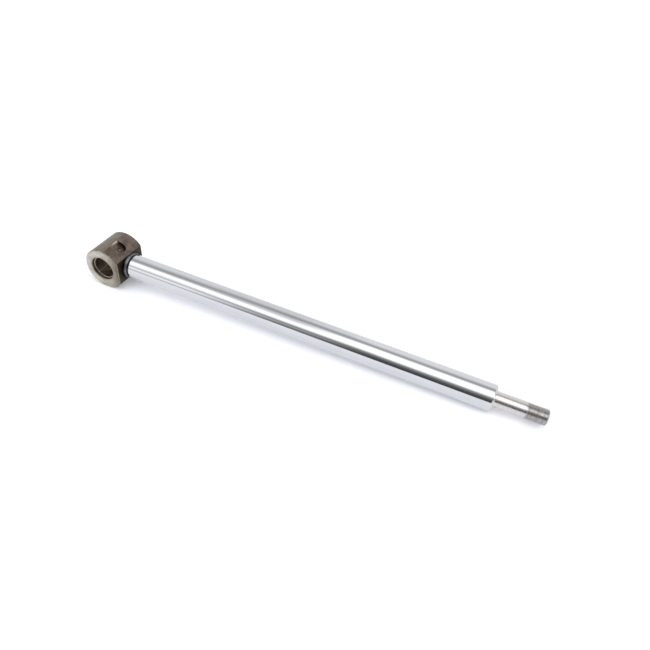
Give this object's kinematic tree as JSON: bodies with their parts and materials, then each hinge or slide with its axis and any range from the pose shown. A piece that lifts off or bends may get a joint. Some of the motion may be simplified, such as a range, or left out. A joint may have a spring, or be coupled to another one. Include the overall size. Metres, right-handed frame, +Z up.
{
  "type": "hydraulic cylinder piston rod",
  "caption": "Chromed piston rod with a turned, threaded spigot at one end and a welded, bushed rod eye with a ball lubricator at the other.",
  "frame": {"origin": "centre of the rod eye's bore, on the pin's axis and the rod's axis", "axes": "+X along the rod from the eye to the threaded spigot, +Y along the eye's bore, +Z up with the lubricator's pocket on the upper side"},
  "size_m": [0.744, 0.062, 0.07],
  "materials": {
    "hard_chrome": "ground and polished hard chrome",
    "eye_steel": "brown mill skin, machined end faces",
    "weld_steel": "rippled weld metal",
    "bush_steel": "dark, oiled",
    "plated_steel": "zinc plated",
    "ball_steel": "polished",
    "spring_steel": "drawn wire"
  },
  "bodies": {
    "rod": {"piston_rod": "hard_chrome", "rod_eye": "eye_steel", "weld_bead": "weld_steel", "eye_bush": "bush_steel", "lubricator_body": "plated_steel", "lubricator_spring": "spring_steel"},
    "check_ball": {"lubricator_ball": "ball_steel"}
  },
  "joints": [
    {"name": "ball_lift", "type": "slide", "parent": "rod", "child": "check_ball", "axis": [-0.5373, 0, -0.8434], "range_m": [0, 0.0008], "stiffness_N_per_m": 500, "springref_m": -0.0009, "deforming": ["lubricator_spring"]}
  ]
}
